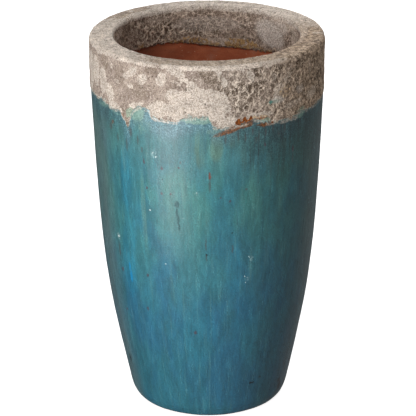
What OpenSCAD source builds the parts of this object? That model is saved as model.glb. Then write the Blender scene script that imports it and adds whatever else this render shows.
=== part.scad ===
// Tall round planter: a clay pot with a thick crusted collar and a glazed body.
// Millimetres, +Z up, origin on the ground at the centre of the foot.
// Every piece is a solid of revolution, and neighbours share the same outline points,
// so each luted joint closes face to face.

/* [Overall] */
// Height from the ground to the top of the rim
pot_h = 673; // [620:1:740]
// Outer radius of the crusted collar, the widest part
rim_r = 203; // [190:1:220]
// Width of the rim from its outer to its inner face
rim_w = 42; // [36:1:50]

/* [Body] */
// Radius of the foot where it meets the ground
foot_r = 121; // [112:1:130]
// Height of the rounded heel above the ground
heel_h = 24; // [18:1:28]
// How far the rounded heel draws in to the foot
heel_w = 14.5; // [8:0.5:18]
// Lean of the wall just above the heel, as radius gained per height
heel_slope = 0.212; // [0.16:0.002:0.24]
// Lean of the wall just under the collar, as radius gained per height
neck_slope = 0.038; // [0.02:0.002:0.06]
// Depth below the rim where the wall's curve ends and the collar stands upright
neck_depth = 93; // [90:1:93]
// Thickness of the wall
wall_t = 18; // [16:1:24]

/* [Base] */
// Thickness of the floor above the ground
floor_t = 32; // [30:1:40]
// Depth of the hollow under the floor, inside the foot ring
foot_hollow = 4; // [2:0.5:6]
// Width of the foot ring
foot_ring_w = 26; // [20:1:34]
// Radius of the drain hole
drain_r = 16; // [10:1:22]
// Leg of the clay coil pressed into the inside corner
coil_leg = 22; // [14:1:28]

/* [Collar] */
// Height of the bevel under the collar, inside the pot
bevel_h = 12; // [8:1:18]
// Depth of the outer end of the joint between the wall and the collar
lap_depth = 86; // [80:1:88]
// How far the collar's skirt laps down inside the wall
lap_step = 34; // [28:1:44]
// How much the lap narrows from its upper to its lower end
lap_taper = 4; // [2:0.5:6]

/* [Coats] */
// Thickness of the glaze
glaze_t = 1.2; // [0.8:0.1:2]
// Thickness of the crust on the collar
crust_t = 2.2; // [1.6:0.1:3.5]
// Depth of the crusted band on the outside, below the rim
band_h = 98; // [95:1:110]
// Depth of the crust inside the mouth
crust_in_h = 68; // [40:1:74]
// Rounding of the rim's outer edge
outer_edge_r = 9; // [6:1:12]
// Rounding of the rim's inner edge
inner_edge_r = 7; // [5:1:9]

/* [Hidden] */
$fn = 96;

mouth_r = rim_r - rim_w;
clay_top_r = rim_r - crust_t;            // bare collar, under the crust
clay_mouth_r = mouth_r + crust_t;
crust_z = pot_h - band_h;                // where glaze and crust meet
lap_hi = pot_h - lap_depth;
lap_lo = lap_hi - lap_step;
crust_in_z = pot_h - crust_in_h;         // lower end of the crust inside the mouth
collar_z = lap_lo + bevel_h;             // lower end of the collar's upright inner face

// The glazed wall follows one cubic curve from the ground to just under the collar.
neck_z = pot_h - neck_depth;
heel_pull = 197;                         // lengths of the curve's two handles
neck_pull = 359;
heel_start = [foot_r + heel_w, 0];
neck_end = [clay_top_r + glaze_t, neck_z];
wall_curve = [
    heel_start,
    heel_start + heel_pull * [heel_slope, 1],
    neck_end - neck_pull * [neck_slope, 1],
    neck_end
];
curve_steps = 60;
heel_steps = 8;
glaze_start = 3;                         // the heel station where the glaze is wiped off
wall_steps = 22;
edge_steps = 6;

function cubic(p, t) =
    pow(1 - t, 3) * p[0] + 3 * pow(1 - t, 2) * t * p[1]
    + 3 * (1 - t) * t * t * p[2] + pow(t, 3) * p[3];

// Radius of the wall's curve against height, as a lookup table.
curve_table = [for (i = [0 : curve_steps]) let (p = cubic(wall_curve, i / curve_steps)) [p[1], p[0]]];

// How far the rounded heel draws in at a height.
function heel_in(z) = z < heel_h ? heel_w * (1 - sqrt(1 - pow(1 - z / heel_h, 2))) : 0;

// Radius of the glazed surface at a height, and the same set in by an offset.
function skin_r(z) = lookup(z, curve_table) - heel_in(z);
function outline(heights, inset) = [for (z = heights) [skin_r(z) - inset, z]];
function reversed(v) = [for (i = [len(v) - 1 : -1 : 0]) v[i]];

// Quarter round of radius r about a centre, from one angle to another.
function round_edge(centre, r, from, to) =
    [for (i = [0 : edge_steps]) let (a = from + (to - from) * i / edge_steps) centre + r * [cos(a), sin(a)]];

// Heights of the outline points that neighbouring pieces share.
heel_heights = [for (i = [0 : heel_steps]) heel_h * (1 - cos(90 * i / heel_steps))];
wall_heights = [for (i = [0 : wall_steps]) heel_h + (crust_z - heel_h) * i / wall_steps];
glazed_heights = concat(
    [for (i = [glaze_start : heel_steps - 1]) heel_heights[i]],
    wall_heights
);
coil_top = floor_t + coil_leg;
inner_heights = concat(
    [heel_h, floor_t],
    [for (i = [0 : wall_steps]) coil_top + (lap_lo - coil_top) * i / wall_steps]
);
lap_mid_r = (skin_r(lap_lo) - wall_t + clay_top_r) / 2;
lap_top = [lap_mid_r + lap_taper / 2, lap_hi];
lap_end = [lap_mid_r - lap_taper / 2, lap_lo];

// The collar's face under the crust, up the outside, over the rim and down into the mouth.
collar_face = concat(
    [[clay_top_r, lap_hi]],
    round_edge([rim_r - outer_edge_r, pot_h - outer_edge_r], outer_edge_r - crust_t, 0, 90),
    round_edge([mouth_r + inner_edge_r, pot_h - inner_edge_r], inner_edge_r - crust_t, 90, 180),
    [[clay_mouth_r, crust_in_z]]
);

module base_slab()
    color("#a8563a")
    rotate_extrude()
    polygon(concat(
        [
            [drain_r, foot_hollow],
            [foot_r - foot_ring_w - foot_hollow, foot_hollow],
            [foot_r - foot_ring_w, 0]
        ],
        outline(heel_heights, glaze_t),
        outline([heel_h, floor_t], wall_t),
        [[drain_r, floor_t]]
    ));

module corner_coil() {
    corner = [skin_r(floor_t) - wall_t, floor_t];
    top = [skin_r(coil_top) - wall_t, coil_top];
    toe = corner - [coil_leg, 0];
    color("#a14f35")
    rotate_extrude()
    polygon(concat(
        [corner],
        [for (i = [0 : edge_steps]) let (t = i / edge_steps)
            pow(1 - t, 2) * top + 2 * (1 - t) * t * corner + t * t * toe]
    ));
}

module wall()
    color("#9c4a30")
    rotate_extrude()
    polygon(concat(
        outline(wall_heights, glaze_t),
        [[clay_top_r, neck_z], [clay_top_r, lap_hi], lap_top, lap_end],
        reversed(outline(inner_heights, wall_t))
    ));

module rim_collar()
    color("#b06a4c")
    rotate_extrude()
    polygon(concat(
        collar_face,
        [[clay_mouth_r, collar_z], [skin_r(lap_lo) - wall_t, lap_lo], lap_end, lap_top]
    ));

module glaze_coat()
    color("#3f8194")
    rotate_extrude()
    polygon(concat(outline(glazed_heights, 0), reversed(outline(glazed_heights, glaze_t))));

module rim_crust()
    color("#b9ab9d")
    rotate_extrude()
    polygon(concat(
        [[clay_top_r, neck_z], [skin_r(crust_z) - glaze_t, crust_z], [rim_r - 0.6, crust_z], [rim_r, neck_z]],
        round_edge([rim_r - outer_edge_r, pot_h - outer_edge_r], outer_edge_r, 0, 90),
        round_edge([mouth_r + inner_edge_r, pot_h - inner_edge_r], inner_edge_r, 90, 180),
        [[mouth_r, crust_in_z]],
        reversed(collar_face)
    ));

base_slab();
corner_coil();
wall();
rim_collar();
glaze_coat();
rim_crust();
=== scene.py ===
"""Tall glazed clay planter: the detailed visual pieces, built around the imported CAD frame.

Lengths in this file are millimetres until a mesh or a node is made. Angles go round the pot in
degrees: 0 faces the camera (-Y) and positive angles turn towards +X. A seed only picks a pattern.
"""

import math
from itertools import product

import bpy
import numpy as np
from mathutils import Matrix, Vector


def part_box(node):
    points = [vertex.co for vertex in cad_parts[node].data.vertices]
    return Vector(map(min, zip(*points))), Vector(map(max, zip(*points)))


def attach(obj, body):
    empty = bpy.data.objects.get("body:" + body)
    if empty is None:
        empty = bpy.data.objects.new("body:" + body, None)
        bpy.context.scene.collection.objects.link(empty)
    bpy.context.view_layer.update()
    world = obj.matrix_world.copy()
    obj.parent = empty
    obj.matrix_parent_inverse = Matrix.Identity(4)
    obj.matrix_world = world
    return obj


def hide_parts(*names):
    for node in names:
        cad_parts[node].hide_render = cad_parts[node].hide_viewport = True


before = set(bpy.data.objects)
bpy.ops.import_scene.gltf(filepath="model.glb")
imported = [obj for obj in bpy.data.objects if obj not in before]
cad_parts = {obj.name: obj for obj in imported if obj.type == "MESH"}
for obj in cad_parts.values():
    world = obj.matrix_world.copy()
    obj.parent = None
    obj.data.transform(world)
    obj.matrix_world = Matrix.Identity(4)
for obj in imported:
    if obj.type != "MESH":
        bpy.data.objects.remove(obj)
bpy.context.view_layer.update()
MM = 0.001


# ---------------- numbers and noise


def ramp(x, low, high):
    """0 at low, 1 at high, smooth between them; high may be the smaller."""
    t = np.clip((np.asarray(x, float) - low) / (high - low), 0.0, 1.0)
    return t * t * (3.0 - 2.0 * t)


def turned(angle, centre):
    """Angles as counted from a centre, -180 to 180."""
    return (angle - centre + 180.0) % 360.0 - 180.0


def apart(angle, centre):
    """How far angles are from a centre, either way."""
    return np.abs(turned(angle, centre))


def scramble(cell, seed):
    """A repeatable 32-bit number for each integer cell (n, 3)."""
    i = cell.astype(np.int64)
    h = (i[:, 0] * 73856093) ^ (i[:, 1] * 19349663) ^ (i[:, 2] * 83492791)
    h = (h ^ (seed * 2654435761)) & 0xFFFFFFFF
    for _ in range(2):
        h ^= h >> 16
        h = (h * 0x45D9F3B) & 0xFFFFFFFF
    return h ^ (h >> 16)


def noise(p, seed):
    """Smooth gradient noise at the points p (n, 3), about -1 to 1 with a period near 1."""
    cell = np.floor(p)
    f = p - cell
    fade = f * f * f * (f * (f * 6.0 - 15.0) + 10.0)
    total = np.zeros(len(p))
    for corner in product((0, 1), repeat=3):
        c = np.array(corner)
        h = scramble(cell + c, seed)
        slope = np.stack([h & 255, (h >> 8) & 255, (h >> 16) & 255], -1) / 127.5 - 1.0
        weight = np.prod(np.where(c, fade, 1.0 - fade), -1)
        total += weight * ((f - c) * slope).sum(-1)
    return total * 1.4


def fractal(p, octaves, seed, gain=0.5):
    """Noise at several scales, each half as large as the one before."""
    total, size, height = np.zeros(len(p)), 1.0, 1.0
    for k in range(octaves):
        total += height * noise(p * size, seed + 17 * k)
        size *= 2.03
        height *= gain
    return total


def patchy(p, size, seed, level, swing, lowest=0.0, highest=1.0):
    """A level that rises and falls by swing from patch to patch of a size, within limits."""
    return np.clip(level + swing * noise(p / size, seed), lowest, highest)


def cells(p, seed, jitter=0.9):
    """Worley cells: (distance to the nearest centre, how much further the next is, a number per cell)."""
    base = np.floor(p)
    near = np.full(len(p), 9.0)
    second = np.full(len(p), 9.0)
    tag = np.zeros(len(p))
    for offset in product((-1, 0, 1), repeat=3):
        q = base + np.array(offset)
        h = scramble(q, seed)
        spot = np.stack([h & 1023, (h >> 10) & 1023, (h >> 20) & 1023], -1) / 1023.0
        d = np.linalg.norm(q + 0.5 + (spot - 0.5) * jitter - p, axis=1)
        closer = d < near
        second = np.where(closer, near, np.minimum(second, d))
        tag = np.where(closer, (h & 4095) / 4095.0, tag)
        near = np.where(closer, d, near)
    return near, second - near, tag


# ---------------- outline of the CAD pieces


def stations(node, pick):
    """(heights, radii) of a CAD node's outline: pick is max for its outer side, min for its inner."""
    v = np.array([x.co[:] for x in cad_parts[node].data.vertices]) / MM
    r, z = np.hypot(v[:, 0], v[:, 1]), np.round(v[:, 2], 2)
    heights = np.unique(z)
    return heights, np.array([pick(r[z == h]) for h in heights])


def smooth_curve(zs, rs):
    """A function of height through the stations, with no facets."""
    slope = np.gradient(rs, zs)

    def at(z):
        z = np.clip(np.asarray(z, float), zs[0], zs[-1])
        i = np.clip(np.searchsorted(zs, z, side="right") - 1, 0, len(zs) - 2)
        step = zs[i + 1] - zs[i]
        t = (z - zs[i]) / step
        return (
            rs[i] * (1 + 2 * t) * (1 - t) ** 2
            + slope[i] * step * t * (1 - t) ** 2
            + rs[i + 1] * t * t * (3 - 2 * t)
            + slope[i + 1] * step * t * t * (t - 1)
        )

    return at


GLAZE_Z, GLAZE_R = stations("glaze_coat", max)
glazed_r = smooth_curve(GLAZE_Z, GLAZE_R)


def skin(z, inset=0.0):
    """The (radius, height) of the glazed surface at a height, or of a point set in from it."""
    return float(glazed_r(z)) - inset, z


# The collar's lowest stations are its bevel's foot and the lower end of its upright inner face.
collar_z, collar_in = stations("rim_collar", min)
collar_out = stations("rim_collar", max)[1]
CLAY_MOUTH_R = float(collar_in.min())
CLAY_R = float(collar_out.max())
COLLAR_LOW = float(collar_z[np.argmax(collar_in < CLAY_MOUTH_R + 0.01)])
LAP_LOW = (float(collar_out[0]), float(collar_z[0]))
lap_top = int(np.argmax(collar_out > CLAY_R - 0.01))
LAP_HIGH = (float(collar_in[lap_top]), float(collar_z[lap_top]))

RIM_R, _, RIM_Z = (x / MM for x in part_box("rim_crust")[1])
MOUTH_R = float(stations("rim_crust", min)[1].min())
CRUST_T = RIM_R - CLAY_R
OUTER_ROUND = 9.0  # rounding of the rim's outer edge
MOUTH_ROUND = 7.0  # and of its inner edge
CROWN_R = RIM_R - 22.0  # where the two pieces of crust meet, on the rim's flat top
CRUST_COLUMNS = 960

WALL_LOW = 24.0  # the joint between the wall and the base slab
WALL_T = skin(WALL_LOW)[0] - float(stations("wall", min)[1][0])
GLAZE_T = skin(WALL_LOW)[0] - float(stations("wall", max)[1][0])
GLAZE_TOP = 602.0  # the glaze runs on under the crust as far as this

FLOOR_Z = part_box("base_slab")[1].z / MM
COIL_LEG = 22.0
FOOT_HOLLOW = 4.0  # depth of the hollow under the floor
FOOT_IN_R = 95.0  # the foot ring, from its inner to its outer edge
FOOT_OUT_R = 118.0


# ---------------- ring meshes


def trace(points, step):
    """Points along a polyline of (radius, height), about a step apart with its corners, less the last."""
    out = []
    for (r0, z0), (r1, z1) in zip(points[:-1], points[1:]):
        n = max(1, round(math.hypot(r1 - r0, z1 - z0) / step))
        out += [(r0 + (r1 - r0) * i / n, z0 + (z1 - z0) * i / n) for i in range(n)]
    return out


def arc(centre, radius, start, end, n):
    """Points of a round edge in the (radius, height) plane."""
    angles = [math.radians(start + (end - start) * i / n) for i in range(n + 1)]
    return [(centre[0] + radius * math.cos(a), centre[1] + radius * math.sin(a)) for a in angles]


class Ring:
    """A closed outline turned round the axis. Its seen points can move along the outline's normal."""

    def __init__(self, seen, hidden, around):
        self.r, self.z = np.array(seen + hidden, float).T
        ahead = np.stack([np.roll(self.r, -1) - self.r, np.roll(self.z, -1) - self.z], -1)
        ahead /= np.linalg.norm(ahead, axis=1)[:, None] + 1e-12
        along = ahead + np.roll(ahead, 1, axis=0)
        along /= np.linalg.norm(along, axis=1)[:, None] + 1e-12
        area = 0.5 * np.sum(self.r * np.roll(self.z, -1) - np.roll(self.r, -1) * self.z)
        self.nr, self.nz = along[:, 1] * np.sign(area), -along[:, 0] * np.sign(area)
        self.shape = (around, len(self.r))
        self.angle = np.repeat(360.0 * np.arange(around) / around - 180.0, len(self.r))
        self.row = np.tile(np.arange(len(self.r)), around)
        self.seen = self.row < len(seen)
        self.p = self.points(np.zeros(around * len(self.r)))

    def points(self, out):
        """Every point in space, moved out from the outline by that many millimetres."""
        r = self.r[self.row] + self.nr[self.row] * out
        a = np.radians(self.angle)
        z = self.z[self.row] + self.nz[self.row] * out
        return np.stack([r * np.sin(a), -r * np.cos(a), z], -1)

    def build(self, name, out, material, masks, slot, node):
        """Makes the object, with the seen points moved out and the masks stored on its vertices."""
        n, m = self.shape
        i, j = np.meshgrid(np.arange(n), np.arange(m), indexing="ij")
        i2, j2 = (i + 1) % n, (j + 1) % m
        quads = np.stack([i * m + j, i2 * m + j, i2 * m + j2, i * m + j2], -1).reshape(-1, 4)
        v = self.points(np.where(self.seen, out, 0.0)) * MM
        a, b, c = (v[quads[:, k]] for k in (0, 1, 2))
        if np.einsum("ij,ij->i", a, np.cross(b, c)).sum() < 0:
            quads = quads[:, ::-1]
        mesh = bpy.data.meshes.new(name)
        mesh.from_pydata(v, [], quads)
        mesh.shade_smooth()
        for key, values in masks.items():
            stored = mesh.attributes.new(key, "FLOAT", "POINT")
            stored.data.foreach_set("value", values.astype(np.float32))
        mesh.materials.append(material)
        piece = bpy.data.objects.new(name, mesh)
        bpy.context.scene.collection.objects.link(piece)
        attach(piece, "root")
        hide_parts(node)


# ---------------- node trees


def rgb(text):
    """A linear colour from a screen colour such as 'c8bbae'."""
    parts = [int(text[k : k + 2], 16) / 255 for k in (0, 2, 4)]
    return (*[c / 12.92 if c <= 0.04045 else ((c + 0.055) / 1.055) ** 2.4 for c in parts], 1.0)


class Graph:
    """The node tree of a new material or world, built a node at a time."""

    def __init__(self, owner, output):
        owner.use_nodes = True
        self.tree = owner.node_tree
        self.tree.nodes.clear()
        self.end = self.node(output).inputs["Surface"]

    def join(self, source, socket):
        self.tree.links.new(source, socket)

    def node(self, kind, inputs=None, **settings):
        """A node whose inputs are each a link, a number or vector, or the text of a colour."""
        made = self.tree.nodes.new("ShaderNode" + kind)
        for key, value in settings.items():
            setattr(made, key, value)
        for key, value in (inputs or {}).items():
            if isinstance(value, bpy.types.NodeSocket):
                self.join(value, made.inputs[key])
            else:
                made.inputs[key].default_value = rgb(value) if isinstance(value, str) else value
        return made

    def math(self, op, a, b=0.0):
        return self.node("Math", {0: a, 1: b}, operation=op).outputs[0]

    def step(self, value, low, high, to_low=0.0, to_high=1.0):
        """to_low where the value is low, to_high where it is high, smooth between them."""
        inputs = {"Value": value, "From Min": low, "From Max": high, "To Min": to_low, "To Max": to_high}
        return self.node("MapRange", inputs, interpolation_type="SMOOTHSTEP").outputs["Result"]


class Shader(Graph):
    """A material with one principled surface, drawn by the place on the object."""

    def __init__(self, name):
        self.material = bpy.data.materials.new(name)
        super().__init__(self.material, "OutputMaterial")
        self.surface = self.node("BsdfPrincipled")
        self.join(self.surface.outputs[0], self.end)
        self.place = self.node("TexCoord").outputs["Object"]

    def vector(self, op, a, b=(0, 0, 0)):
        """Vector arithmetic; b is a number for SCALE, and isn't used by NORMALIZE and LENGTH."""
        made = self.node("VectorMath", {0: a, "Scale" if op == "SCALE" else 1: b}, operation=op)
        return made.outputs["Value" if op == "LENGTH" else "Vector"]

    def mask(self, name):
        return self.node("Attribute", attribute_name=name).outputs["Fac"]

    def noise(self, where, scale, detail=3.0, rough=0.55, warp=0.0):
        kind = {"Scale": scale, "Detail": detail, "Roughness": rough, "Distortion": warp}
        return self.node("TexNoise", {"Vector": where, **kind}).outputs["Fac"]

    def spots(self, where, scale):
        """Distance to the nearest of many scattered points."""
        return self.node("TexVoronoi", {"Vector": where, "Scale": scale}).outputs["Distance"]

    def mix(self, factor, a, b, blend="MIX"):
        inputs = {"Factor": factor, 6: a, 7: b}
        return self.node("Mix", inputs, data_type="RGBA", blend_type=blend).outputs[2]

    def lay(self, under, colour, *shares):
        """A colour laid over another, as thick as the product of the shares, which are masks or numbers."""
        share = shares[0]
        for more in shares[1:]:
            share = self.math("MULTIPLY", share, more)
        return self.mix(share, under, colour)

    def shade(self, colour, value):
        """A colour, lighter or darker by value."""
        return self.node("HueSaturation", {"Value": value, "Color": colour}).outputs["Color"]

    def swing(self, value, amount):
        """A noise moved to lie evenly about 0, and scaled."""
        return self.math("MULTIPLY", self.math("SUBTRACT", value, 0.5), amount)

    def frayed(self, name, rag, low, high):
        """A mask with its edge broken up by a noise about 0."""
        return self.step(self.math("ADD", self.mask(name), rag), low, high)

    def round_place(self, girth, tall):
        """Coordinates that follow the pot's meridians: girth along the circumference, tall up the axis."""
        x, y, z = self.node("SeparateXYZ", {0: self.place}).outputs
        flat = self.node("CombineXYZ", {0: x, 1: y}).outputs[0]
        up = self.node("CombineXYZ", {2: self.math("MULTIPLY", z, tall)}).outputs[0]
        return self.vector("ADD", self.vector("SCALE", self.vector("NORMALIZE", flat), girth), up)

    def wobble(self, scale, amount):
        """The place, moved about by up to half the amount in metres, to make drawn marks ragged."""
        off = self.node("TexNoise", {"Vector": self.place, "Scale": scale}).outputs["Color"]
        off = self.vector("SUBTRACT", off, (0.5, 0.5, 0.5))
        return self.vector("ADD", self.place, self.vector("SCALE", off, amount))

    def dots(self, where, marks):
        """One mask of small marks on the glaze. Each is (angle, height, half width, half height)."""
        total = None
        for angle, height, half_w, half_h in marks:
            a, r = math.radians(angle), skin(height)[0]
            spot = Vector((math.sin(a) * r, -math.cos(a) * r, height)) * MM
            off = self.vector("SUBTRACT", where, spot)
            off = self.vector("MULTIPLY", off, (1 / half_w / MM, 1 / half_w / MM, 1 / half_h / MM))
            one = self.step(self.vector("LENGTH", off), 1.35, 0.6)
            total = one if total is None else self.math("MAXIMUM", total, one)
        return total

    def finish(self, colour, roughness, specular, *bumps):
        """The finished material. Each bump is (height, depth in metres, strength), stacked on the last."""
        under = {}
        for height, depth, strength in bumps:
            inputs = {"Height": height, "Distance": depth, "Strength": strength, **under}
            under = {"Normal": self.node("Bump", inputs).outputs["Normal"]}
        self.join(colour, self.surface.inputs["Base Color"])
        self.join(roughness, self.surface.inputs["Roughness"])
        self.join(under["Normal"], self.surface.inputs["Normal"])
        self.surface.inputs["Specular IOR Level"].default_value = specular
        return self.material


# ---------------- materials


def crust_material():
    """Dry volcanic slip: mottled ash with dark hollows, pale ridges, cream patches and stains."""
    s = Shader("volcanic_crust")
    p = s.place
    broad = s.noise(p, 30, 3, 0.6)
    mottle = s.noise(p, 150, 4, 0.65, 0.6)
    fine = s.noise(p, 430, 3, 0.75)
    grit = s.noise(p, 950, 2, 0.6)
    rag = s.math("ADD", s.swing(mottle, 1.3), s.swing(fine, 1.1))

    base = s.mix(s.step(broad, 0.36, 0.64), "7e6f65", "948579")
    base = s.lay(base, "ab9c91", s.step(mottle, 0.46, 0.68), 0.7)
    base = s.lay(base, "6f6052", s.step(mottle, 0.44, 0.28), 0.6)
    base = s.lay(base, s.mix(s.step(mottle, 0.38, 0.60), "8a7763", "bbab98"), s.mask("tan"))

    # Where the crust has opened, its cells are dark and the ridges between them pale.
    opened = s.mix(s.step(fine, 0.4, 0.6), "5f5145", "7f6f61")
    base = s.lay(base, opened, s.frayed("dark", rag, 0.20, 0.75), 0.9)
    base = s.lay(base, "4b3e32", s.mask("hollow"), 0.92)
    base = s.lay(base, "dccdbd", s.mask("ridge"), s.step(fine, 0.36, 0.52, 0.35, 1.0))

    cream = s.mix(s.step(fine, 0.38, 0.60), "a79a8d", "cdc1b5")
    cream = s.shade(cream, s.step(s.noise(p, 70, 4, 0.65), 0.34, 0.66, 0.76, 1.04))
    base = s.lay(base, cream, s.frayed("cream", rag, 0.38, 0.62), 0.92)

    # Dark grain, less of it on the cream, and light grain.
    share = s.step(s.mask("cream"), 0.2, 0.9, 0.78, 0.36)
    base = s.lay(base, "4b3f34", s.step(fine, 0.48, 0.34), share)
    base = s.lay(base, "ddd2c7", s.step(fine, 0.54, 0.67), 0.48)

    # Warmer and blotchier to one side, and lighter still where the cream mask passes 1: a painted highlight
    # on the rim's rounded outer edge, and a lighter rim top.
    base = s.mix(s.mask("warm"), base, "f2dcc2", "MULTIPLY")
    blotch = s.math("MULTIPLY", s.mask("warm"), s.step(mottle, 0.38, 0.62, -0.5, 0.5))
    base = s.shade(base, s.math("ADD", blotch, 1.0))
    base = s.shade(base, s.step(s.mask("cream"), 0.98, 1.2, 1.0, 1.26))

    base = s.lay(base, "3d332b", s.mask("pit"), 0.85)
    ochre = s.mix(s.step(fine, 0.42, 0.6), "7f5c35", "b8955f")
    base = s.lay(base, ochre, s.frayed("ochre", rag, 0.30, 0.85), 0.85)
    base = s.lay(base, s.mix(s.step(fine, 0.40, 0.62), "a4998e", "dfd5cb"), s.mask("blush"))
    rust = s.mix(s.step(fine, 0.4, 0.6), "4a2409", "94501a")
    base = s.lay(base, rust, s.frayed("rust", rag, 0.35, 0.75))
    green = s.mix(s.step(fine, 0.4, 0.6), "5f7a6c", "97a894")
    base = s.lay(base, green, s.frayed("green", rag, 0.25, 0.95), 0.75)
    base = s.lay(base, "3f7a70", s.mask("teal"))
    stain = s.mix(s.step(fine, 0.4, 0.6), "4f6a68", "7f9794")
    base = s.lay(base, stain, s.frayed("stain", rag, 0.30, 0.80), 0.8)
    base = s.shade(base, s.step(grit, 0.30, 0.70, 0.78, 1.22))

    bumps = (mottle, 0.0016, 0.6), (fine, 0.0012, 0.8), (grit, 0.0006, 0.7)
    return s.finish(base, s.step(fine, 0.2, 0.8, 0.82, 0.98), 0.25, *bumps)


def glaze_material():
    """Satin teal glaze: fine runs down the wall, flashes of blue and olive, small specks and drips."""
    s = Shader("teal_glaze")
    p = s.place
    girth = 0.19  # the body's usual radius in metres, so that patterns keep their scale round the pot

    def runs(tall, scale, detail, rough, warp=0.0):
        """Noise drawn out down the wall: the smaller tall is, the longer its runs."""
        return s.noise(s.round_place(girth, tall), scale, detail, rough, warp)

    hair = runs(0.07, 430, 2, 0.6)
    streak = runs(0.05, 170, 3, 0.6)
    band = runs(0.16, 45, 3, 0.55)
    cloud = runs(0.5, 15, 3, 0.55)
    smudge = runs(0.30, 75, 4, 0.6, 0.5)
    speck = s.noise(p, 480, 2, 0.65)
    rag = s.swing(s.noise(p, 210, 4, 0.65, 0.5), 1.5)
    height = s.node("SeparateXYZ", {0: p}).outputs["Z"]
    high = s.step(height, 0.20, 0.50)

    # Deep blue at the foot, greener above, with streaks lighter and darker than the ground.
    teal = s.mix(high, "2a6675", "3a7370")
    teal = s.lay(teal, s.mix(high, "266079", "2e6a74"), s.step(cloud, 0.40, 0.62))
    teal = s.lay(teal, s.mix(high, "336d7b", "52857a"), s.step(band, 0.50, 0.72), 0.4)
    teal = s.lay(teal, "4c7374", s.step(height, 0.44, 0.56), 0.55)
    teal = s.lay(teal, "6a9c9a", s.step(streak, 0.54, 0.74), 0.22)
    teal = s.lay(teal, "24566a", s.step(streak, 0.46, 0.28), 0.30)
    teal = s.lay(teal, "6fa3a3", s.step(hair, 0.55, 0.78), 0.25)
    teal = s.lay(teal, "1f4d5c", s.step(hair, 0.45, 0.22), 0.30)
    teal = s.lay(teal, "127a9c", s.mask("blue"), s.step(streak, 0.32, 0.56, 0.35, 1.0))
    teal = s.lay(teal, "677d64", s.mask("olive"), s.step(streak, 0.36, 0.60, 0.15, 1.0))
    # Grey at the left and right edges, a painted reflection of the room at grazing angles, and grey bands at
    # random behind.
    teal = s.lay(teal, "5e6b6b", s.mask("edge_sheen_and_grey_bands"))

    # Greyer and grainier just under the crust, with smoky runs.
    near = s.mask("under_line")
    teal = s.lay(teal, "567f92", near, 0.55)
    teal = s.lay(teal, "90b2b6", near, s.step(speck, 0.53, 0.68), 0.70)
    teal = s.lay(teal, "274650", s.math("ADD", near, 0.12), s.step(speck, 0.46, 0.32), 0.7)
    smoke = s.frayed("smoke", s.swing(streak, 1.6), 0.10, 1.0)
    teal = s.lay(teal, s.mix(s.step(speck, 0.4, 0.62), "2b4448", "416a6b"), smoke, 0.75)
    teal = s.lay(teal, "2d3138", smoke, s.step(runs(0.04, 330, 3, 0.7), 0.50, 0.34), 0.7)

    # Finer grain, less the shade mask: painted shade round the sides of the glaze, and painted light at its
    # far right edge.
    teal = s.shade(teal, s.math("SUBTRACT", s.step(speck, 0.30, 0.70, 0.83, 1.17), s.mask("shade")))
    teal = s.shade(teal, s.step(smudge, 0.30, 0.70, 0.84, 1.16))

    # Stains and crumbs of crust along the ragged edge.
    grain = s.step(speck, 0.4, 0.6)
    teal = s.lay(teal, s.mix(grain, "5a7d74", "84a191"), s.frayed("green", rag, 0.15, 1.00), 0.8)
    teal = s.lay(teal, s.mix(grain, "4a2a12", "87501f"), s.frayed("rust", rag, 0.20, 1.10))
    teal = s.lay(teal, s.mix(grain, "84837a", "c3b9ac"), s.frayed("fringe", rag, 0.34, 0.80), 0.85)

    place = s.wobble(260, 0.004)
    for marks, colour, share in (
        (RED_DOTS, "4b2f3a", 0.75),
        (RED_DRIPS, "6f3524", 0.85),
        (DARK_DOTS, "11181c", 0.9),
        (DARK_DRIPS, "41403f", 0.6),
        (BLUE_DRIPS, "02484c", 0.95),
        (BLUE_SPOTS, "0b76a4", 0.85),
    ):
        teal = s.lay(teal, colour, s.dots(place, marks), share)
    # Pale bluish marks and white specks, some of them painted glints and their halos.
    teal = s.lay(teal, "b9cdca", s.dots(place, FROST_AND_GLINT_HALOS), s.step(speck, 0.42, 0.60), 0.28)
    teal = s.lay(teal, "dfe9e6", s.dots(place, WHITE_SPECKS_AND_GLINTS), 0.8)

    # Red and white specks at random, where none are listed.
    unseen = s.mask("unseen")
    red = s.step(s.spots(s.round_place(girth, 0.6), 70), 0.13, 0.08)
    teal = s.lay(teal, "5b3038", red, s.step(s.noise(p, 30, 1), 0.52, 0.56), unseen, 0.75)
    white = s.step(s.spots(p, 42), 0.07, 0.04)
    teal = s.lay(teal, "dfe9e6", white, s.step(s.noise(p, 21, 1), 0.54, 0.57), unseen, 0.8)

    s.surface.inputs["IOR"].default_value = 1.55
    roughness = s.math("ADD", s.step(hair, 0.3, 0.7, 0.33, 0.27), s.math("MULTIPLY", near, 0.10))
    return s.finish(teal, roughness, 0.85, (streak, 0.0010, 0.22), (speck, 0.0005, 0.35))


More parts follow.
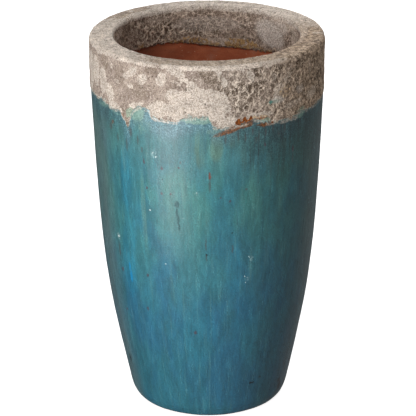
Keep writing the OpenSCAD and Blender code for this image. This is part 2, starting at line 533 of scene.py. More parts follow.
def clay_material():
    """Bare fired clay: throwing rings, dark and pale grains, dust, and sooty darkening, which inside the
    collar also carries painted shade.
    """
    s = Shader("bare_clay")
    p = s.place
    rings = s.noise(s.round_place(0.05, 1.0), 190, 2, 0.5)
    broad = s.noise(p, 14, 4, 0.6)
    fine = s.noise(p, 380, 3, 0.65)
    grit = s.noise(p, 850, 2, 0.6)
    clay = s.mix(s.step(broad, 0.35, 0.65), "ac5d3f", "c47350")
    clay = s.lay(clay, "b97657", s.step(rings, 0.45, 0.7), 0.35)
    clay = s.lay(clay, "6f3624", s.step(fine, 0.55, 0.75), 0.5)
    pale = s.step(s.spots(p, 150), 0.16, 0.08)
    clay = s.lay(clay, "d0a487", pale, s.step(s.noise(p, 60, 2), 0.5, 0.6))
    clay = s.lay(clay, "b49a86", s.mask("dust"), s.step(fine, 0.35, 0.6))
    # Sooty darkening, with the painted shade inside the collar.
    clay = s.lay(clay, "4d2a1f", s.mask("soot_and_shade"))
    clay = s.shade(clay, s.step(grit, 0.3, 0.7, 0.92, 1.08))
    roughness = s.step(fine, 0.2, 0.8, 0.80, 0.95)
    return s.finish(clay, roughness, 0.2, (rings, 0.002, 0.3), (fine, 0.0009, 0.6))


# ---------------- marks placed by angle and height

# The ragged edge between crust and glaze, as (angle, height).
LINE = [
    (-90, 584), (-77, 585), (-67, 582), (-61, 584), (-55, 579), (-50, 577), (-46.6, 577), (-44.8, 567),
    (-42.9, 557), (-41.8, 547), (-40.6, 557), (-39.4, 571), (-38, 583), (-36, 590), (-32, 594), (-28.6, 590),
    (-27.6, 578), (-23, 576), (-15.4, 574), (-13, 580), (-9.6, 584), (0.4, 586), (1.1, 579), (2.6, 569),
    (4.4, 564), (11, 567), (14, 569), (20, 572), (22.6, 576), (27, 569), (33, 565), (40, 563), (47, 562),
    (49.4, 566), (51, 571), (59, 567), (70, 569), (90, 568),
]
# The lower edge of the crust inside the mouth, as (angle from 0 to 360, height).
INNER_LINE = [
    (110, 600), (133, 600), (144, 596), (155, 595), (166, 595), (175, 596), (185, 600), (198, 606),
    (208, 608), (228, 608), (240, 609), (250, 607),
]

# Soft ellipses, each (angle, height, half width, half height, strength, lean). First those on the crust.
CREAM = [
    # the large patches, and the strips along the edges
    (-24, 594, 22, 15, 1.0, 0.2), (-11, 604, 30, 27, 1.0, 0.3), (1, 603, 34, 26, 1.0, 0.0),
    (-16, 622, 13, 12, 0.9, 0.0), (-6, 634, 14, 12, 0.9, -0.5), (3, 626, 22, 8, 0.95, -0.25),
    (9, 577, 18, 9, 1.0, 0.2), (25, 583, 26, 6, 0.8, 0.0), (45, 590, 24, 6, 0.55, 0.1),
    (-36, 596, 16, 5, 0.8, 0.3), (-50, 584, 20, 8, 0.8, -0.3), (-54, 606, 15, 14, 0.85, -0.4),
    (-60, 620, 12, 24, 0.8, 0.2), (-68, 630, 15, 28, 0.75, 0.0), (-76, 622, 16, 36, 0.85, 0.0),
    (-64, 671, 18, 8, 0.95, 0.0), (60, 596, 18, 10, 0.65, 0.2), (134, 673, 45, 6, 1.15, 0.0),
    # the smaller spots, from left to right
    (-52, 652, 4, 7, 0.6, 0.0), (-47.5, 626, 5, 6, 0.6, 0.0), (-42, 643, 7, 5, 0.7, 0.0),
    (-39, 626, 7, 5, 0.85, 0.0), (-38.5, 652, 12, 8, 0.8, 0.5), (-32, 644, 8, 10, 0.95, 0.4),
    (-22, 648, 9, 12, 0.9, 0.3), (-15.6, 664, 14, 8, 1.0, -0.3), (-14, 645, 10, 7, 0.45, 0.0),
    (-12, 655, 5, 8, 0.9, 0.0), (-10, 650, 7, 5, 0.75, 0.0), (-5.5, 653, 6, 3, 0.6, 0.0),
    (5.6, 664, 6, 7, 0.85, 0.0), (8, 646, 6, 9, 0.7, -0.4), (17, 661, 9, 6, 0.55, 0.0),
    (20.5, 655, 8, 10, 0.65, -0.5), (29.6, 665, 8, 4, 0.65, 0.0), (33, 645, 5, 8, 0.6, 0.0),
    (33.5, 613, 4, 4, 1.0, 0.0), (36, 622, 12, 12, 0.6, 0.0), (41, 640, 8, 10, 0.5, 0.0),
    (43, 650, 6, 12, 0.4, 0.3), (58, 640, 6, 20, 0.4, 0.2),
]
DARK = [
    (-80, 668, 16, 5, 0.8, 0.0), (-58, 654, 13, 17, 0.55, 0.0), (-46, 640, 14, 18, 0.45, 0.0),
    (-44, 577, 4, 9, 0.9, 0.4), (-42.2, 561, 3, 9, 0.9, 0.0), (-34, 622, 18, 16, 0.45, 0.0),
    (-27, 660, 12, 8, 0.5, 0.0), (-24, 590, 11, 5, 0.6, 0.0), (2, 655, 21, 13, 0.95, -0.3),
    (6, 637, 13, 9, 0.8, -0.3), (6, 580, 12, 2.2, 1.0, 0.5), (13.5, 643, 12, 8, 0.6, 0.0),
    (16.3, 620, 27, 24, 1.0, 0.0), (24, 657, 14, 11, 0.9, 0.0), (24.4, 632, 13, 13, 0.9, 0.0),
    (32, 600, 12, 5, 0.7, 0.0), (34, 632, 7, 12, 0.7, 0.2), (35, 657, 13, 9, 0.9, 0.0),
    (37, 582, 14, 3.5, 0.9, 0.0), (43, 590, 9, 5, 0.8, 0.3), (47, 625, 8, 14, 0.8, 0.3),
    (53, 661, 22, 8, 1.0, 0.1), (54, 601, 7, 6, 0.8, 0.3), (63, 645, 9, 14, 0.8, 0.0),
    (68, 612, 13, 28, 1.0, 0.0),
]
GREEN_ON_CRUST = [(-40.0, 580, 9, 9, 0.9, 0.5), (28.5, 573, 11, 4, 0.8, 0.0), (51, 574, 12, 4, 0.7, 0.2)]
STAIN = [(-62, 583, 22, 3, 0.5, 0.2)]
TEAL = [(31.5, 602, 3.5, 3, 0.9, 0.0), (34, 603, 9, 3.5, 0.35, 0.0)]
BLUSH = [(35, 604, 15, 6, 0.55, 0.0), (50, 612, 10, 8, 0.3, 0.0)]
OCHRE = [(40, 616, 16, 12, 0.4, 0.0), (25, 579, 19, 5, 0.6, 0.0), (46, 600, 14, 8, 0.3, 0.0)]

# On the crust inside the mouth.
CREAM_INSIDE = [
    (-150, 654, 40, 8, 0.45, 0.1), (121, 664, 40, 12, 1.1, 0.0), (150, 606, 18, 4, 0.4, 0.0),
    (-125, 640, 20, 12, 0.4, 0.0), (106, 636, 24, 26, 0.66, 0.0), (172, 607, 38, 7, 0.8, 0.0),
    (134, 673, 45, 6, 1.15, 0.0),
]
BLUSH_INSIDE = [(135, 634, 34, 24, 0.8, 0.2), (125, 650, 20, 12, 0.5, 0.0), (180, 640, 60, 14, 0.25, 0.0)]
OCHRE_INSIDE = [(-168, 607, 44, 9, 0.9, 0.0), (157, 606, 34, 11, 1.0, 0.0)]

# Across the ragged edge, on both sides of it.
RUST = [
    (6.0, 556, 13, 5.0, 0.75, 0.30), (11.5, 562, 20, 6.0, 0.88, 0.34), (18.0, 570, 16, 7.0, 1.0, 0.15),
    (14.5, 576, 4.5, 6.0, 0.95, 0.6), (17.6, 578, 4, 6.5, 0.95, 0.6), (20.6, 578, 3.5, 6.5, 0.9, 0.6),
    (17.2, 574, 12, 2.6, 1.0, 0.2), (24, 578, 20, 2.5, 0.6, 0.0), (28.5, 565.5, 17, 4.2, 0.95, 0.0),
    (-46, 575, 9, 2.5, 0.55, -0.8), (-53, 552, 3.5, 4.5, 0.8, 0.0),
]

# On the glaze.
BLUE_MARKS = [
    (-45, 452, 12, 66, 0.30, 0.0), (-47, 300, 16, 70, 0.30, 0.0), (-44, 372, 14, 60, 0.25, 0.0),
    (14, 300, 12, 50, 0.2, 0.0), (-6, 180, 30, 60, 0.15, 0.0), (22, 190, 24, 70, 0.15, 0.0),
]
OLIVE_MARKS = [
    (-3.5, 531, 9, 34, 0.45, 0.0), (4, 534, 12, 26, 0.40, 0.0), (12, 548, 14, 16, 0.35, 0.0),
    (-34, 405, 5, 70, 0.28, 0.0), (41, 523, 16, 9, 0.35, 0.0), (-45, 500, 6, 30, 0.2, 0.0),
]
GREEN_MARKS = [
    (-4, 581, 34, 7, 1.1, 0.0), (-36, 582, 17, 14, 1.0, 0.0), (3, 562, 14, 5, 0.5, 0.2),
    (-60, 577, 26, 5, 0.6, 0.1), (-49, 572, 14, 5, 0.45, 0.0), (51, 568, 14, 8, 1.0, 0.0),
    (-33, 566, 18, 20, 0.40, 0.0),
]
NAVY_MARKS = [
    (-67, 562, 12, 24, 0.9, 0.0), (-57, 556, 12, 8, 0.8, -0.8), (-63, 528, 9, 24, 0.5, 0.0),
    (-50, 549, 9, 10, 0.55, -0.5), (27, 562, 17, 8, 0.6, 0.0),
]

# Small marks drawn in the glaze's shader, each (angle, height, half width, half height).
RED_DOTS = [
    (-22.9, 490, 2.2, 3.4), (-14.3, 494, 1.8, 2.4), (-31.6, 450, 2.4, 2.6), (-23.4, 444, 2.0, 2.6),
    (-18.7, 445, 1.9, 2.0), (-32.6, 497, 1.8, 5.0), (6.2, 441, 1.6, 1.8), (11, 434, 2.2, 2.2),
    (19.3, 453, 2.0, 1.9), (46.3, 508, 2.4, 5.6), (-53.4, 278, 2.2, 4.0), (-34.1, 284, 2.4, 3.0),
    (-36.4, 217, 2.3, 3.4), (-54.8, 198, 2.4, 2.4), (-7.6, 183, 2.2, 3.2), (28.8, 529, 1.8, 4.0),
]
RED_DRIPS = [(1.0, 479, 2.2, 4.6), (0.8, 485, 1.5, 3.5)]
DARK_DOTS = [
    (29.8, 67, 5.5, 2.1), (36.1, 75, 2.6, 2.2), (58.6, 47, 4.6, 5.5), (61.0, 33, 6.0, 10.0),
    (-66, 86, 3.6, 9.0), (-0.7, 336, 1.5, 2.2), (12.4, 375, 1.4, 1.6), (-22.8, 470, 1.3, 1.6),
]
DARK_DRIPS = [
    (-35.7, 534, 1.9, 9.0), (-42.9, 520, 2.0, 12.0), (-33.5, 518, 2.0, 5.0), (1.0, 463, 2.2, 11.0),
    (-1.2, 355, 1.5, 12.0), (-54.6, 315, 2.4, 15.0), (-0.9, 330, 1.4, 8.0), (12.6, 345, 1.6, 9.0),
    (-40, 545, 3.0, 8.0), (46.5, 492, 1.8, 11.0), (-13.2, 504, 1.5, 3.0), (24, 540, 2.0, 6.0),
    (-54.5, 543, 4.5, 5.5), (14.7, 551, 1.7, 8.0), (18.3, 547, 1.9, 8.0), (22, 556, 2.0, 7.0),
    (25.3, 546, 1.8, 9.0), (29, 552, 2.0, 8.0), (33, 556, 2.2, 7.0), (40, 552, 2.2, 9.0),
    (8.5, 546, 1.8, 8.0), (36.5, 542, 1.6, 8.0), (-49, 528, 2.0, 8.0),
]
BLUE_DRIPS = [
    (-15.5, 427, 4.6, 6.5), (-15.6, 412, 2.3, 9.0), (-15.0, 398, 2.5, 11.0), (-14.7, 385, 2.0, 7.0),
]
BLUE_SPOTS = [(-46.2, 272, 3.0, 12.0), (-46.8, 290, 1.8, 9.0)]
# Pale bluish marks; some are painted halos round the glints listed below.
FROST_AND_GLINT_HALOS = [
    (-26.8, 513, 6.0, 7.0), (-5.7, 449, 3.0, 3.0), (-54.3, 340, 5.5, 6.0), (23, 322, 3.5, 5.0),
    (21, 285, 3.0, 4.0),
]
# White specks; some are painted glints where small bumps would catch the light.
WHITE_SPECKS_AND_GLINTS = [
    (-30.4, 410, 1.2, 1.2), (-22.8, 313, 1.1, 1.3), (-54.3, 340, 1.5, 1.8), (20.1, 278, 0.9, 0.9),
    (-5.7, 451, 0.9, 0.9), (-27.4, 516, 1.0, 1.0), (-25.8, 509, 0.9, 1.0), (21.7, 326, 0.8, 1.4),
    (19.3, 290, 0.8, 0.8),
]


def scatter(count, seed, low, high, width, tall, strength):
    """The same kind of ellipse in random places on the far side of the pot."""
    rng = np.random.default_rng(seed)
    return [
        (
            rng.uniform(84, 276), rng.uniform(low, high), rng.uniform(*width),
            rng.uniform(*tall), rng.uniform(*strength), rng.uniform(-0.5, 0.5),
        )
        for _ in range(count)
    ]


RUST += scatter(7, 8, 562, 576, (8, 18), (3, 6), (0.7, 1.0))
CREAM += scatter(34, 5, 585, 668, (5, 26), (4, 20), (0.5, 1.0))
CREAM_INSIDE += scatter(10, 9, 612, 655, (8, 26), (4, 10), (0.25, 0.55))
BLUE_MARKS += scatter(10, 3, 150, 520, (6, 14), (30, 80), (0.2, 0.4))
OLIVE_MARKS += scatter(8, 10, 380, 545, (5, 12), (15, 60), (0.2, 0.5))
GREEN_MARKS += scatter(8, 7, 566, 582, (10, 26), (4, 8), (0.4, 0.8))


def blot(ring, marks, ragged=2.5, seed=71):
    """A mask: the strongest of many soft ellipses at each point, with ragged edges."""
    p = ring.p
    radius = np.hypot(p[:, 0], p[:, 1])
    warp = ragged * fractal(p / 9.0, 3, seed)
    lift = ragged * fractal(p / 9.0, 3, seed + 5)
    best = np.zeros(len(p))
    for mark_angle, height, half_w, half_h, strength, lean in marks:
        x = np.radians(turned(ring.angle, mark_angle)) * radius + warp
        y = p[:, 2] - height + lift - lean * x
        best = np.maximum(best, strength * ramp(np.hypot(x / half_w, y / half_h), 1.25, 0.75))
    return best


def line_at(ring):
    """Height of the glaze's ragged top edge, as drawn in front and at random behind."""
    front = np.interp(ring.angle, *np.array(LINE, float).T)
    level = ring.p * [1, 1, 0]
    back = 577 + 9 * fractal(level / 42.0, 3, 51) - 16 * ramp(noise(level / 19.0, 52), 0.42, 0.75)
    drawn = ramp(np.abs(ring.angle), 90, 72)
    return front * drawn + np.clip(back, 548, 596) * (1 - drawn)


def inner_line_at(ring):
    """Height of the crust's lower edge inside the mouth, as drawn at the back and at random in front."""
    a = ring.angle % 360.0
    back = np.interp(a, *np.array(INNER_LINE, float).T)
    front = 604 + 6 * fractal(ring.p * [1, 1, 0] / 33.0, 3, 61)
    drawn = ramp(a, 106, 122) * ramp(a, 254, 238)
    return back * drawn + np.clip(front, 597, 611) * (1 - drawn)


# ---------------- crust


def form(p):
    """The slow waviness of a hand-made pot, shared by the glaze and the crust."""
    return 0.55 * noise(p / 95.0, 1) + 0.22 * noise(p / 38.0, 2)


def rim_top(ring, depth):
    """1 on the rim's flat top, gone at a depth below it."""
    return ramp(ring.p[:, 2], RIM_Z - depth, RIM_Z - 1.5)


def rim_wash(ring):
    """The paler stretches of the rim's top, on the left and at the back."""
    left = ramp(apart(ring.angle, -75), 55, 25)
    back = ramp(apart(ring.angle, 155), 75, 40)
    return np.maximum(left, back) * rim_top(ring, 4) * patchy(ring.p, 11, 38, 1.13, 0.9, highest=1.2)


def rim_open(ring, flat):
    """Where the rim's top has opened into dark cells."""
    return 0.6 * flat * ramp(noise(ring.p / 14.0, 58), 0.10, 0.42)


def crust_surface(ring, rough, dark, cream, edge):
    """(relief in mm, masks) of the crust's skin: a net of ridges round sunken cells where it is rough.

    edge is 1 on the crust and 0 where it tucks under the glaze or ends on the clay.
    """
    p = ring.p
    warp = np.stack([noise(p / 8.0, 31), noise(p / 8.0, 32), noise(p / 8.0, 33)], -1)
    _, border, tag = cells(p * [1, 1, 0.8] / 8.6 + 0.50 * warp, 21)
    fold = np.abs(noise(p / 7.5 + 0.6 * warp, 34))
    broken = patchy(p, 9, 36, 0.75, 1.1)
    net = np.maximum(ramp(border, 0.17, 0.04), 0.85 * ramp(fold, 0.085, 0.02)) * rough * broken
    hollow = ramp(border, 0.08, 0.30) * (0.3 + 0.7 * tag) * rough * (0.55 + 0.45 * dark) * (1 - 0.8 * net)
    near, _, chance = cells(p / 5.2, 23)
    pit = ramp(near, 0.34, 0.20) * (chance < patchy(p, 26, 24, 0.10, 0.18, 0.02, 0.4))
    relief = (
        form(p)
        + 0.42 * fractal(p / 13.0, 2, 11)
        + 0.26 * fractal(p / 3.4, 2, 12)
        + 0.40 * cream
        - 0.45 * dark
        + 0.75 * net
        - 0.75 * hollow * (1 - 0.7 * cream)
        - 0.7 * pit
    )
    keep = 1 - 0.85 * cream
    return relief, {
        "ridge": net * keep * edge * (0.70 + 0.30 * dark),
        "hollow": hollow * keep * edge,
        "pit": pit * edge,
        "cream": cream,
        "dark": dark * keep * edge,
    }


def outside_ring():
    """The outside's outline, from its tongues under the glaze's edge up to the middle of the rim's top."""
    round_at = (RIM_R - OUTER_ROUND, RIM_Z - OUTER_ROUND)
    seen = [skin(z, -1.0) for z in (544, 556, 568, 574)] + [(RIM_R, 584), (RIM_R, round_at[1])]
    over = arc(round_at, OUTER_ROUND, 0, 90, 10) + [(CROWN_R, RIM_Z)]
    outline = trace(seen[:2], 4.0) + trace(seen[1:], 1.55) + trace(over, 1.45)
    hidden = [(CROWN_R, RIM_Z), (CROWN_R, RIM_Z - CRUST_T), (round_at[0], RIM_Z - CRUST_T)]
    hidden += arc(round_at, OUTER_ROUND - CRUST_T, 90, 0, 3)[1:]
    hidden += [(RIM_R - CRUST_T, 587), skin(572, 2.6), skin(544, 2.6), seen[0]]
    return Ring(outline, trace(hidden, 20.0), CRUST_COLUMNS)


def outer_lip_cream_and_highlight(ring):
    """Cream on the rim's rounded outer edge with a painted highlight on it, fading to the right, away from
    the key light.
    """
    across = np.hypot(ring.p[:, 0], ring.p[:, 1]) - (RIM_R - OUTER_ROUND)
    up = ring.p[:, 2] - (RIM_Z - OUTER_ROUND)
    bend = np.degrees(np.arctan2(up, across))  # 0 on the side, 90 on the rim's top
    return ramp(np.abs(bend - 48), 46, 18) * patchy(ring.p, 24, 43, 0.85, 0.6) * ramp(ring.angle, 66, 20)


def make_crust_outside(material):
    """The crust round the collar, with the marks and stains that the photograph shows on it."""
    ring = outside_ring()
    p, angle = ring.p, ring.angle
    below = p[:, 2] - line_at(ring) + 3.4 * fractal(p / 8.5, 4, 41, 0.62)
    edge = ramp(below, -1.2, 2.2)
    flat = rim_top(ring, 5)
    wash = rim_wash(ring)
    # Above 1 along the rim's outer edge, which the crust's shader lightens further: a painted highlight.
    cream = np.maximum(blot(ring, CREAM), np.maximum(1.25 * outer_lip_cream_and_highlight(ring), 0.75 * ramp(below, 7, 2)))
    cream = np.maximum(cream, wash)

    # Smooth at the front left and crackled at the right; patches of both behind.
    rough = np.maximum(ramp(angle, -2, 8), 0.4 * ramp(angle, -14, -4) * ramp(p[:, 2], 632, 645))
    rough = np.where(np.abs(angle) > 80, ramp(noise(p / 60.0, 44), -0.15, 0.15), rough)
    rough = np.maximum(rough, 0.12) * (1 - 0.75 * flat) * (1 - 0.9 * ramp(cream, 0.3, 0.8))
    front = ramp(np.abs(angle), 92, 76)
    opened = blot(ring, DARK, 3.0, 73) * front + ramp(noise(p / 27.0, 37), -0.1, 0.35) * (1 - front)
    opened = np.maximum(opened * (1 - 0.7 * flat), rim_open(ring, flat) * (1 - 0.7 * wash))

    relief, masks = crust_surface(ring, rough, opened, cream, edge)
    green = 0.7 * ramp(below, 4.5, 0.5) * patchy(p, 16, 45, 0.35, 1.0)
    stain = 0.85 * ramp(below, 7.5, 0.5) * patchy(p, 11, 40, 0.75, 0.9)
    right = ramp(angle, 20, 60) * ramp(angle, 130, 90)
    tan = flat * (0.75 + 0.25 * ramp(angle, -60, 20)) + 0.5 * right * (1 - flat) * (1 - opened)
    warm = 0.62 * ramp(angle, 5, 62) * ramp(angle, 125, 88)
    masks.update(
        rust=blot(ring, RUST, 1.6, 81) * ramp(below, 20, 8),
        green=np.maximum(green, blot(ring, GREEN_ON_CRUST, 2.0)),
        stain=np.maximum(stain, blot(ring, STAIN, 3.5)),
        teal=blot(ring, TEAL),
        blush=blot(ring, BLUSH),
        ochre=blot(ring, OCHRE),
        tan=tan * patchy(p, 17, 50, 0.85, 0.6),
        warm=warm * (1 - 0.3 * cream) * (1 - 0.3 * flat),
    )
    tuck = 2.5  # how far it sinks below the glaze past its edge
    out = relief * edge - tuck * (1 - edge)
    ring.build("crust_outside", out, material, masks, "volcanic_crust", "rim_crust")


def mouth_ring():
    """The mouth's outline, from the middle of the rim's top down to below its ragged lower edge."""
    low = 591.0
    back = 4.6  # how far the hidden side lies behind the seen one
    start = (CROWN_R, RIM_Z)
    over = arc((MOUTH_R + MOUTH_ROUND, RIM_Z - MOUTH_ROUND), MOUTH_ROUND, 90, 180, 8)
    hidden = [(MOUTH_R + back, low), (MOUTH_R + back, RIM_Z - 9)]
    hidden += [(MOUTH_R + 10, RIM_Z - 3), (CROWN_R, RIM_Z - 3), start]
    return Ring(trace([start] + over + [(MOUTH_R, low)], 1.12), trace(hidden, 20.0), CRUST_COLUMNS)


def make_crust_mouth(material):
    """The crust inside the mouth, which ends raggedly on the bare clay."""
    ring = mouth_ring()
    p, z, angle = ring.p, ring.p[:, 2], ring.angle
    below = z - inner_line_at(ring) + 2.4 * fractal(p / 6.5, 4, 42, 0.62)
    edge = ramp(below, -1.2, 2.2) * ramp(z, 592, 595)
    flat = rim_top(ring, 6)
    radius = np.hypot(p[:, 0], p[:, 1])
    # Cream on the mouth's rounded inner edge, strongest at the back, where it is also a painted highlight on
    # that edge.
    inner_lip_cream_and_highlight = ramp(radius, MOUTH_R + 17, MOUTH_R + 10) * ramp(z, RIM_Z - 13, RIM_Z - 5)
    inner_lip_cream_and_highlight *= patchy(p, 22, 46, 0.80, 0.8) * (0.3 + 0.7 * ramp(np.abs(angle), 50, 95))
    cream = np.maximum(blot(ring, CREAM_INSIDE), np.maximum(inner_lip_cream_and_highlight, rim_wash(ring)))
    # Pale flecks along the lower edge inside: cream, and painted glints on the small beads at that edge.
    cream = np.maximum(cream, 0.5 * ramp(below, 4, 1.5) * patchy(p, 12, 47, 0.2, 1.0))

    # Most crackled at the back left, and palest at the back right.
    rough = patchy(p, 45, 48, 0.85, 0.8, 0.3) * (1 - 0.75 * flat)
    rough = np.maximum(rough, 1.3 * ramp(apart(angle, -148), 34, 16) * (1 - flat))
    pale = ramp(apart(angle, 125), 48, 28)
    opened = ramp(noise(p / 30.0, 39), -0.25, 0.25) * (1 - flat)
    opened *= (1 - 0.8 * ramp(below, 26, 10)) * (1 - 0.8 * pale)
    opened = np.maximum(opened, rim_open(ring, flat))

    relief, masks = crust_surface(ring, rough * (1 - ramp(cream, 0.3, 0.8)), opened, cream, edge)
    ochre = 0.75 * ramp(below, 20, 6) * patchy(p, 18, 49, 0.45, 1.2)
    right = ramp(angle, -10, 60) * ramp(angle, 125, 88)
    none = np.zeros(len(p))
    masks.update(
        ochre=np.maximum(ochre, blot(ring, OCHRE_INSIDE, 4.0)) * patchy(p, 5.5, 59, 0.75, 0.9),
        blush=blot(ring, BLUSH_INSIDE),
        tan=flat * (1 - 0.6 * cream) * patchy(p, 17, 50, 0.85, 0.6),
        warm=0.28 * (1 - flat) * (1 - inner_lip_cream_and_highlight) + 0.5 * flat * right,
    )
    masks.update(dict.fromkeys(("rust", "green", "teal", "stain"), none))
    tuck = 3.2  # how far it sinks into the clay past its edge
    out = relief * edge - tuck * (1 - edge)
    ring.build("crust_mouth", out, material, masks, "volcanic_crust", "rim_crust")


# ---------------- glaze and clay


def make_glaze(material):
    """The glaze on the body, with its flashes, smoky runs, painted shade round its sides and a painted
    reflection at its edges.
    """
    low = float(GLAZE_Z[0])
    heights = np.concatenate(
        [np.linspace(low, 30, 14)[:-1], np.linspace(30, 530, 140)[:-1], np.linspace(530, GLAZE_TOP, 27)]
    )
    hidden = (GLAZE_TOP - 0.1, 560, 480, 400, 300, 200, 100, 40, 16, low + 0.2)
    ring = Ring([skin(z) for z in heights], [skin(z, GLAZE_T) for z in hidden], 512)
    p, z, angle = ring.p, ring.p[:, 2], ring.angle
    above = z - line_at(ring)

    # Faint rings and runs, a thick roll at the foot, and a step down where the crust covers it.
    out = form(p) + 0.10 * noise(p / [500, 500, 11], 3) + 0.16 * noise(p / [12, 12, 160], 4)
    out += 0.5 * ramp(z, low + 9, low + 2) - 1.6 * ramp(above, 2, 7)

    unseen = ramp(np.abs(angle), 72, 84)
    # Grey at the left and right edges: a painted reflection of the room at grazing angles. Grey bands at
    # random behind.
    edges = 0.62 * np.maximum(ramp(angle, -50, -68), ramp(angle, 48, 70)) * ramp(np.abs(angle), 106, 82)
    bands = 0.45 * unseen * ramp(noise(p / [60, 60, 220], 97), 0.0, 0.45)
    # Painted shade in the glaze's colour, the shade mask: darker round to the right, away from the key
    # light, but lighter again at the far right edge, a painted rim reflection; darker at the left edge, less
    # so low down; and darker just under the crust left of centre, toning down the highlight there. Also
    # darker towards the foot.
    front = ramp(np.abs(angle), 125, 84)
    shade = front * (
        0.33 * ramp(angle, 6, 48)
        - 0.28 * ramp(angle, 56, 80)
        + 0.16 * ramp(angle, -36, -54)
        - 0.10 * ramp(angle, -44, -64) * ramp(z, 260, 120)
    )
    shade += 0.08 * ramp(z, 330, 120)
    shade += 0.17 * ramp(above, -42, -20) * ramp(angle, -52, -38) * ramp(angle, 16, 2)
    smoke = 0.95 * ramp(above, -150, -8) * ramp(angle, 2, 24)
    smoke += 0.75 * ramp(above, -75, -8) * ramp(angle, -32, -52)
    masks = {
        "blue": blot(ring, BLUE_MARKS, 1.5, 91),
        "olive": blot(ring, OLIVE_MARKS, 1.5, 92),
        "rust": blot(ring, RUST, 1.6, 81),
        "green": blot(ring, GREEN_MARKS, 2.0, 95),
        "edge_sheen_and_grey_bands": np.maximum(edges, bands) * patchy(p, np.array([14, 14, 90]), 98, 0.85, 0.4, 0.3),
        "shade": shade,
        "fringe": 0.80 * ramp(above, -8.5, -1.0) * patchy(p, 10, 99, 0.75, 0.9),
        "smoke": np.maximum(smoke, blot(ring, NAVY_MARKS, 3.0, 94)) * front,
        "under_line": ramp(above, -40, -12) * patchy(p, 30, 96, 0.75, 0.5),
        "unseen": unseen,
    }
    ring.build("glaze", out, material, masks, "teal_glaze", "glaze_coat")


def clay_masks(p, soot_and_shade=0.0):
    """Dust and sooty darkening on bare clay: some of it everywhere at random, plus a given level."""
    return {
        "dust": 0.5 * ramp(noise(p / 40.0, 55), 0.15, 0.6),
        "soot_and_shade": np.clip(soot_and_shade + 0.25 * ramp(noise(p / 55.0, 56), 0.2, 0.7), 0, 0.8),
    }


def make_wall(material):
    """The wall, with the ridges of the potter's fingers inside and the seams smeared over."""
    face = [skin(z, WALL_T) for z in np.linspace(LAP_LOW[1], WALL_LOW, 150)]
    outer = [skin(z, GLAZE_T) for z in (WALL_LOW, 60, 120, 180, 240, 300, 360, 420, 480, 530, 575)]
    lap = [(CLAY_R, 580), (CLAY_R, LAP_HIGH[1]), LAP_HIGH, LAP_LOW]
    ring = Ring(face, outer + trace(lap + [face[0]], 12.0), 360)
    p = ring.p
    fingers = 0.45 * noise(p / [250, 250, 13], 5) + 0.35 * noise(p / 48.0, 6)
    fingers += 0.12 * fractal(p / 8.0, 2, 7)
    ring.build("wall_clay", fingers, material, clay_masks(p), "bare_clay", "wall")


def make_collar(material):
    """The bare collar, seen below the crust inside the mouth, with its bevel down to the wall."""
    top, outer_round, inner_round = RIM_Z - CRUST_T, OUTER_ROUND - CRUST_T, MOUTH_ROUND - CRUST_T
    start = (CLAY_MOUTH_R, 640)
    bevel = skin(LAP_LOW[1], WALL_T)
    over = arc((CLAY_R - outer_round, top - outer_round), outer_round, 0, 90, 4)
    over += arc((CLAY_MOUTH_R + inner_round, top - inner_round), inner_round, 90, 180, 4)
    rest = [bevel, LAP_LOW, LAP_HIGH, (CLAY_R, LAP_HIGH[1])] + over + [start]
    ring = Ring(trace([start, (CLAY_MOUTH_R, COLLAR_LOW), bevel], 2.2), trace(rest, 14.0), 480)
    uneven = 0.20 * fractal(ring.p / 12.0, 3, 8) + 0.16 * noise(ring.p / [250, 250, 9], 13)
    masks = clay_masks(ring.p, 0.1)
    # Painted shade on the collar's inside at the back left, turned away from the key light, put in with the
    # sooty darkening.
    masks["soot_and_shade"] += 0.60 * ramp(apart(ring.angle, -122), 45, 15)
    ring.build("collar_clay", uneven, material, masks, "bare_clay", "rim_collar")


def make_base(material):
    """The base slab: a soft-edged drain hole, a hollow inside the foot ring, and the heel."""
    zs, rs = stations("base_slab", max)
    drain_r = float(stations("base_slab", min)[1].min())
    soft = 2.5  # rounding of the drain hole's edges
    top = [(float(rs[-1]), FLOOR_Z)] + arc((drain_r + soft, FLOOR_Z - soft), soft, 90, 180, 4)
    under = arc((drain_r + soft, FOOT_HOLLOW + soft), soft, 180, 270, 4) + [(FOOT_IN_R - 3.5, FOOT_HOLLOW)]
    foot = arc((FOOT_IN_R, 2.0), 2.0, 180, 270, 3) + arc((FOOT_OUT_R, 1.6), 1.6, 270, 330, 3)
    heel = [(r, z) for r, z in zip(rs[:-1], zs[:-1]) if z > 0.6 and r > 120]
    outline = trace(top + under + foot + heel + [skin(WALL_LOW, WALL_T), top[0]], 3.0)
    ring = Ring(outline, [], 256)
    p = ring.p
    out = 0.22 * fractal(p / 11.0, 3, 9) + 0.25 * noise(p / 40.0, 10)
    out = np.where(p[:, 2] < 3.0, np.minimum(out, 0.0) * 0.5, out)  # nothing stands below the ground
    ring.build("base_clay", out, material, clay_masks(p, 0.15), "bare_clay", "base_slab")


def make_coil(material):
    """The coil pressed into the inside corner, hollowed by a thumb run along it."""
    corner, top = (np.array(skin(z, WALL_T)) for z in (FLOOR_Z, FLOOR_Z + COIL_LEG))
    toe = corner - [COIL_LEG, 0]
    t = np.linspace(0, 1, 18)[:, None]
    face = (1 - t) ** 2 * top + 2 * (1 - t) * t * corner + t * t * toe
    back = trace([tuple(x) for x in (toe, corner, top)], 5.0)[1:]
    ring = Ring([tuple(x) for x in face], back, 360)
    thumb = 0.5 * noise(ring.p / 21.0, 57) + 0.15 * fractal(ring.p / 8.0, 2, 7)
    ring.build("corner_clay", thumb, material, clay_masks(ring.p, 0.1), "bare_clay", "corner_coil")


# ---------------- studio


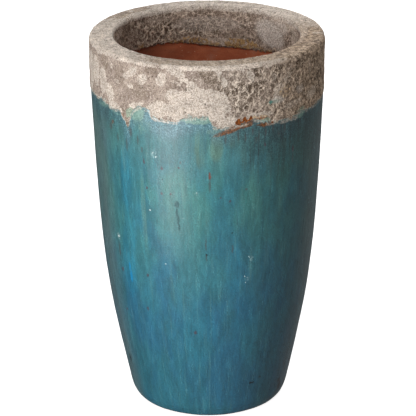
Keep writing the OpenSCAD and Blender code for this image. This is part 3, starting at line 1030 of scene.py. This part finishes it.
def make_floor():
    """A floor that the camera sees nearly white, and that throws back less light than white paper."""
    half = 12.0  # half its width in metres
    corners = [(-half, -half, 0), (half, -half, 0), (half, half, 0), (-half, half, 0)]
    mesh = bpy.data.meshes.new("floor")
    mesh.from_pydata(corners, [], [(0, 1, 2, 3)])
    floor = bpy.data.objects.new("floor", mesh)
    bpy.context.scene.collection.objects.link(floor)
    material = bpy.data.materials.new("studio_floor")
    g = Graph(material, "OutputMaterial")
    paint = g.node("BsdfDiffuse", {"Color": (0.5, 0.5, 0.5, 1)}).outputs[0]
    glow = g.node("Emission", {"Strength": 0.9}).outputs[0]
    bright = g.node("AddShader", {0: paint, 1: glow}).outputs[0]
    seen = g.node("LightPath").outputs["Is Camera Ray"]
    g.join(g.node("MixShader", {0: seen, 1: paint, 2: bright}).outputs[0], g.end)
    mesh.materials.append(material)
    floor.visible_glossy = False


def softbox(name, angle, elevation, distance, size, power, aim):
    """A rectangular light at an angle round the pot that looks at its axis at the height aim, in metres."""
    data = bpy.data.lights.new(name, "AREA")
    data.shape = "RECTANGLE"
    data.size, data.size_y = size
    data.energy = power
    light = bpy.data.objects.new(name, data)
    a, e = math.radians(angle), math.radians(elevation)
    away = Vector((math.sin(a) * math.cos(e), -math.cos(a) * math.cos(e), math.sin(e))) * distance
    place = Matrix.Translation(away + Vector((0, 0, aim)))
    light.matrix_world = place @ (-away).to_track_quat("-Z", "Y").to_matrix().to_4x4()
    bpy.context.scene.collection.objects.link(light)


def make_world(seen, left, right):
    """White to the camera; to everything else a plain room, brighter on the pot's right than on its left."""
    world = bpy.data.worlds.new("studio")
    bpy.context.scene.world = world
    g = Graph(world, "OutputWorld")
    path = g.node("LightPath").outputs
    across = g.node("SeparateXYZ", {0: g.node("TexCoord").outputs["Generated"]}).outputs["X"]
    shine = {0: path["Is Glossy Ray"], 1: -0.6, 2: 1.0}  # reflections see the room at 0.4 of its strength
    dim = g.node("Math", shine, operation="MULTIPLY_ADD").outputs[0]
    level = g.math("MULTIPLY", g.step(across, -0.8, 0.6, left, right), dim)
    room = g.node("Background", {"Color": "ffffff", "Strength": level}).outputs[0]
    behind = g.node("Background", {"Color": "ffffff", "Strength": seen}).outputs[0]
    g.join(g.node("MixShader", {0: path["Is Camera Ray"], 1: room, 2: behind}).outputs[0], g.end)


def make_camera():
    """The photograph's viewpoint, from the outline and the rim's ellipses; metres and degrees."""
    distance, height, look_down, lean = 3.654, 1.7656, 21.21, -0.375
    data = bpy.data.cameras.new("camera")
    data.sensor_width = 36.0
    data.lens = 191.2
    data.clip_end = 60.0
    camera = bpy.data.objects.new("camera", data)
    pitch = Matrix.Rotation(math.radians(90 - look_down), 4, "X")
    roll = Matrix.Rotation(math.radians(lean), 4, "Z")
    camera.matrix_world = Matrix.Translation((0.0, -distance, height)) @ pitch @ roll
    bpy.context.scene.collection.objects.link(camera)
    bpy.context.scene.camera = camera


make_camera()
crust = crust_material()
clay = clay_material()
make_crust_outside(crust)
make_crust_mouth(crust)
make_glaze(glaze_material())
make_wall(clay)
make_collar(clay)
make_base(clay)
make_coil(clay)
make_floor()
make_world(1.0, 0.12, 0.36)
softbox("key", -36, 2, 2.4, (1.4, 1.3), 62, 0.6)
softbox("top", -20, 62, 2.6, (1.6, 1.6), 32, 0.6)
softbox("back", 168, 32, 2.8, (1.8, 1.6), 50, 0.5)
softbox("low", -34, -18, 1.0, (0.5, 0.16), 0.61, 0.4)
bpy.context.scene.view_settings.view_transform = "Standard"
